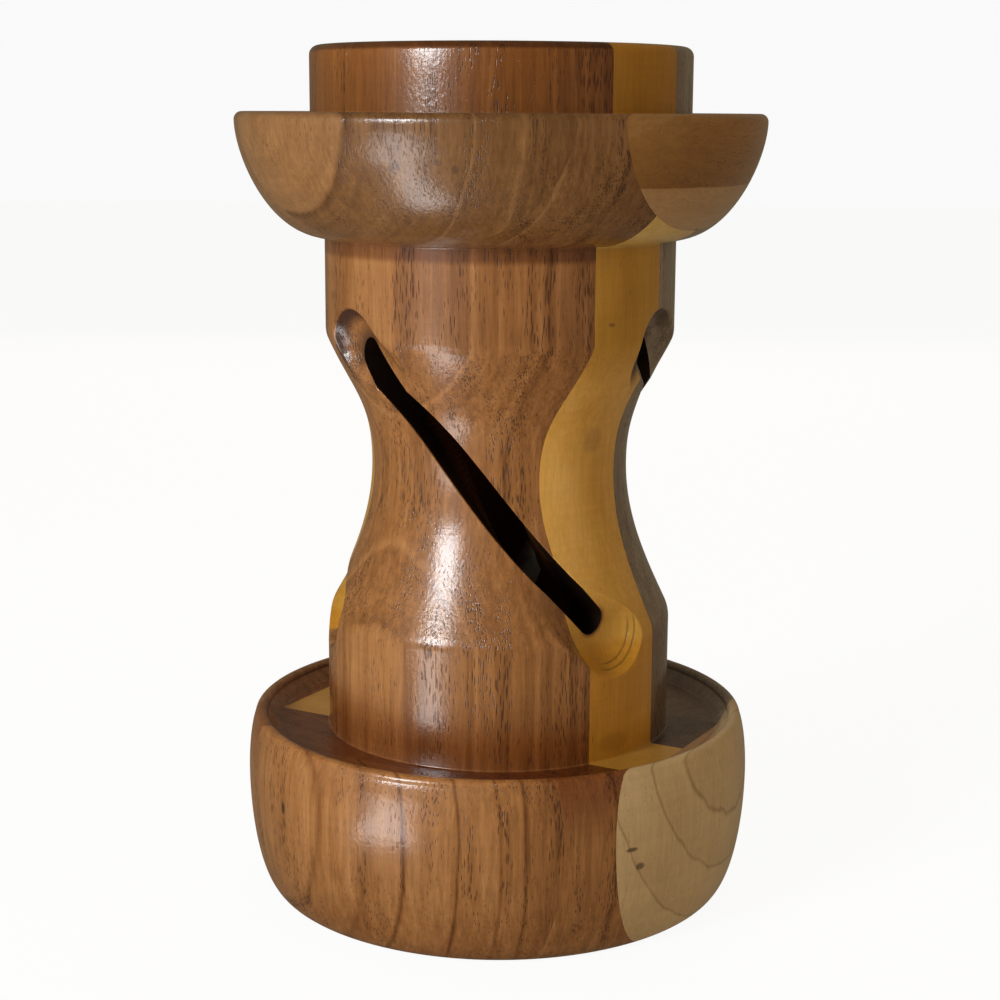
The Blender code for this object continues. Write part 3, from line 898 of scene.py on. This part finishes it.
def board(node, x, y, z, form):
    """One plank of the glue-up, cut to the turned form, standing for its CAD node."""
    spans = [(low + 0.5 * GLUE_LINE, high - 0.5 * GLUE_LINE) for low, high in (x, y)] + [z]
    builder = bmesh.new()
    bmesh.ops.create_cube(builder, size=1.0)
    for vert in builder.verts:
        vert.co = Vector([spans[i][1 if vert.co[i] > 0 else 0] for i in range(3)])
    plank = new_object(f"{node}_turned", builder)
    boolean(plank, "INTERSECT", form)
    bake(plank)
    sharpen(plank.data, spans)
    plank.data.materials.clear()
    plank.data.materials.append(varnished_wood(f"{node}_wood", BOARDS[node]))
    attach(plank, "root")
    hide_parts(node)


def build_boards(form):
    """All twelve boards: the four of the core, and the four round it at the base and at the bowl."""
    across = (-SIDE_X, SIDE_X)
    deep = (FRONT_Y, BACK_Y)
    for node, depth in (("front_board", (FRONT_Y, LIGHT_Y)), ("light_board", (LIGHT_Y, MIDDLE_Y)),
                        ("inner_back_board", (MIDDLE_Y, REAR_Y)), ("back_board", (REAR_Y, BACK_Y))):
        board(node, across, depth, CORE_STOCK_Z, form)
    for level, height in (("base", BASE_STOCK_Z), ("bowl", BOWL_STOCK_Z)):
        board(f"{level}_front_board", across, (-STOCK, FRONT_Y), height, form)
        board(f"{level}_back_board", across, (BACK_Y, STOCK), height, form)
        board(f"{level}_left_board", (-STOCK, -SIDE_X), deep, height, form)
        board(f"{level}_right_board", (SIDE_X, STOCK), deep, height, form)


# ---------------------------------------------------------------- camera, stage and light
CAMERA_PLACE = Vector((0.2549, -0.4569, 0.2139))
CAMERA_FORWARD = Vector((-0.4770, 0.8561, -0.1988))
CAMERA_ROLL = 0.0057
CAMERA_LENS = 69.41
CAMERA_AZIMUTH = math.degrees(math.atan2(CAMERA_PLACE.x, -CAMERA_PLACE.y))

STAGE_SIZE = 4.0
STAGE_ROUGHNESS, STAGE_SHINE = 0.9, 0.1
BACKDROP_RINGS = 24
FLOOR_DROP = 0.0002
FLOOR_GREY, FLOOR_GLOW = 0.07, 0.93
BACKDROP_GLOW = 0.95

# Lights: colours, and the azimuths from the camera's at which the window and its glow stand
AIM = Vector((0.0, 0.0, 0.12))
WARM = (1.0, 0.86, 0.68)
FILL = (1.0, 0.92, 0.82)
NEUTRAL = (1.0, 0.965, 0.96)
WINDOW = (0.93, 0.97, 1.0)
ROOM = (1.0, 0.80, 0.54, 1.0)
ROOM_STRENGTH = 0.16
WINDOW_AZIMUTH = -43.0
GLOW_AZIMUTH = -45.0
GLOW_ASIDE = 0.015
GLOW_HEIGHT = 0.001
BOUNCE_HEIGHT = 0.0005


def add_camera():
    """The camera that was fitted to the photograph."""
    data = bpy.data.cameras.new("camera")
    data.lens = CAMERA_LENS
    data.sensor_width = 36.0
    data.clip_start = 0.01
    camera = bpy.data.objects.new("camera", data)
    bpy.context.scene.collection.objects.link(camera)
    turn = CAMERA_FORWARD.to_track_quat("-Z", "Y").to_matrix() @ Matrix.Rotation(CAMERA_ROLL, 3, "Z")
    camera.matrix_world = Matrix.Translation(CAMERA_PLACE) @ turn.to_4x4()
    bpy.context.scene.camera = camera


def glowing_material(name, grey, glow):
    """A matt grey material with a white glow of its own."""
    material = bpy.data.materials.new(name)
    material.use_nodes = True
    shader = material.node_tree.nodes["Principled BSDF"]
    shader.inputs["Base Color"].default_value = (grey, grey, grey, 1.0)
    shader.inputs["Roughness"].default_value = STAGE_ROUGHNESS
    shader.inputs["Specular IOR Level"].default_value = STAGE_SHINE
    shader.inputs["Emission Color"].default_value = (1.0, 1.0, 1.0, 1.0)
    shader.inputs["Emission Strength"].default_value = glow
    return material


def hide_from(thing, *rays):
    """Make the object invisible to these kinds of ray."""
    for ray in rays:
        setattr(thing, f"visible_{ray}", False)


def add_stage():
    """A pale floor, and a pale backdrop that only the camera sees."""
    builder = bmesh.new()
    bmesh.ops.create_grid(builder, x_segments=1, y_segments=1, size=STAGE_SIZE)
    floor = new_object("floor", builder)
    floor.location.z = -FLOOR_DROP
    floor.data.materials.append(glowing_material("pale_floor", FLOOR_GREY, FLOOR_GLOW))
    hide_from(floor, "glossy", "diffuse")
    builder = bmesh.new()
    bmesh.ops.create_uvsphere(builder, u_segments=2 * BACKDROP_RINGS, v_segments=BACKDROP_RINGS,
                              radius=STAGE_SIZE)
    backdrop = new_object("backdrop", builder)
    backdrop.data.materials.append(glowing_material("pale_backdrop", 0.0, BACKDROP_GLOW))
    hide_from(backdrop, "diffuse", "glossy", "transmission", "volume_scatter", "shadow")


def add_panel(name, width, height, radiance, colour):
    """A rectangular panel light of this size and brightness, not seen by the camera itself."""
    data = bpy.data.lights.new(name, "AREA")
    data.shape = "RECTANGLE"
    data.size, data.size_y = width, height
    data.energy = radiance * math.pi * width * height
    data.color = colour
    light = bpy.data.objects.new(name, data)
    bpy.context.scene.collection.objects.link(light)
    hide_from(light, "camera")
    return light


def add_softbox(name, azimuth, elevation, distance, size, radiance, colour):
    """A soft panel that faces the object; the azimuth is measured from the camera's."""
    light = add_panel(name, *size, radiance, colour)
    away = direction(CAMERA_AZIMUTH + azimuth, elevation)
    light.location = AIM + away * distance
    light.rotation_euler = (-away).to_track_quat("-Z", "Y").to_euler()
    return light


def add_table_glow(name, near, far, width, radiance):
    """A strip of lit table in front of the window, which the upright varnish mirrors."""
    light = add_panel(name, width, far - near, radiance, NEUTRAL)
    away = direction(CAMERA_AZIMUTH + GLOW_AZIMUTH, 0.0)
    aside = direction(CAMERA_AZIMUTH + GLOW_AZIMUTH + 90.0, 0.0)
    middle = away * 0.5 * (near + far) + aside * GLOW_ASIDE + Vector((0.0, 0.0, GLOW_HEIGHT))
    face_up = away.to_track_quat("Y", "Z").to_matrix().to_4x4() @ Matrix.Rotation(math.pi, 4, "Y")
    light.matrix_world = Matrix.Translation(middle) @ face_up


def add_lights():
    """A window with the table that it lights, dim fills all round, and the room's warm air."""
    # azimuth, elevation, distance, size, brightness, colour
    add_softbox("window", WINDOW_AZIMUTH, 19.0, 0.95, (0.25, 0.32), 28.0, WINDOW)
    fills = (
        add_softbox("left_fill", -70.0, 14.0, 1.2, (0.9, 1.1), 0.92, FILL),
        add_softbox("right_fill", 52.0, 10.0, 1.2, (0.9, 1.1), 1.75, WARM),
        add_softbox("back_fill", 180.0, 25.0, 1.2, (1.2, 1.1), 0.9, WARM),
        add_softbox("top_fill", 150.0, 70.0, 1.2, (0.8, 0.8), 0.8, WARM),
    )
    # from, to, width, brightness
    add_table_glow("near_table", 0.140, 0.35, 0.06, 7.0)
    add_table_glow("far_table", 0.35, 0.95, 0.18, 6.0)
    bounce = add_panel("table_bounce", 1.6, 1.6, 0.22, WARM)
    bounce.location.z = BOUNCE_HEIGHT
    bounce.rotation_euler.x = math.pi
    for light in (*fills, bounce):
        hide_from(light, "glossy")
    world = bpy.data.worlds.new("studio")
    bpy.context.scene.world = world
    world.use_nodes = True
    background = world.node_tree.nodes["Background"]
    background.inputs["Color"].default_value = ROOM
    background.inputs["Strength"].default_value = ROOM_STRENGTH


bpy.context.scene.view_settings.view_transform = "Standard"
add_camera()
add_stage()
add_lights()
turned = turned_form()
cut_slots(turned)
build_boards(turned)
bpy.data.objects.remove(turned)
